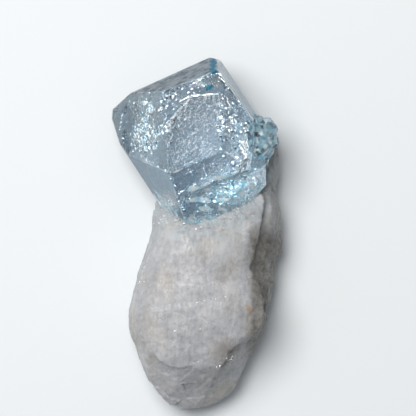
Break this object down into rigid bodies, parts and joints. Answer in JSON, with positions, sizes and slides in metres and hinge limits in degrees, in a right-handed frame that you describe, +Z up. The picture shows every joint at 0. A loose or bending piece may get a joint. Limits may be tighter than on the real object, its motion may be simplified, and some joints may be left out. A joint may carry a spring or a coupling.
{
  "type": "euclase crystal specimen",
  "caption": "Pale blue, glassy, blocky euclase crystal grown on the end of a long white feldspar rock, lying on the rock's flat back.",
  "frame": {"origin": "the middle of the specimen's footprint, on the surface it lies on", "axes": "+Y along the specimen from the rock's broken end to the crystal, +Z up, away from the rock's flat back, +X towards the small side cluster"},
  "size_m": [0.0146, 0.03, 0.0113],
  "materials": {
    "euclase": "glassy, pale blue, with sparkling internal veils",
    "feldspar": "rough, translucent white with brownish patches"
  },
  "bodies": {
    "root": {"euclase_crystal": "euclase", "feldspar_matrix": "feldspar"}
  },
  "joints": []
}
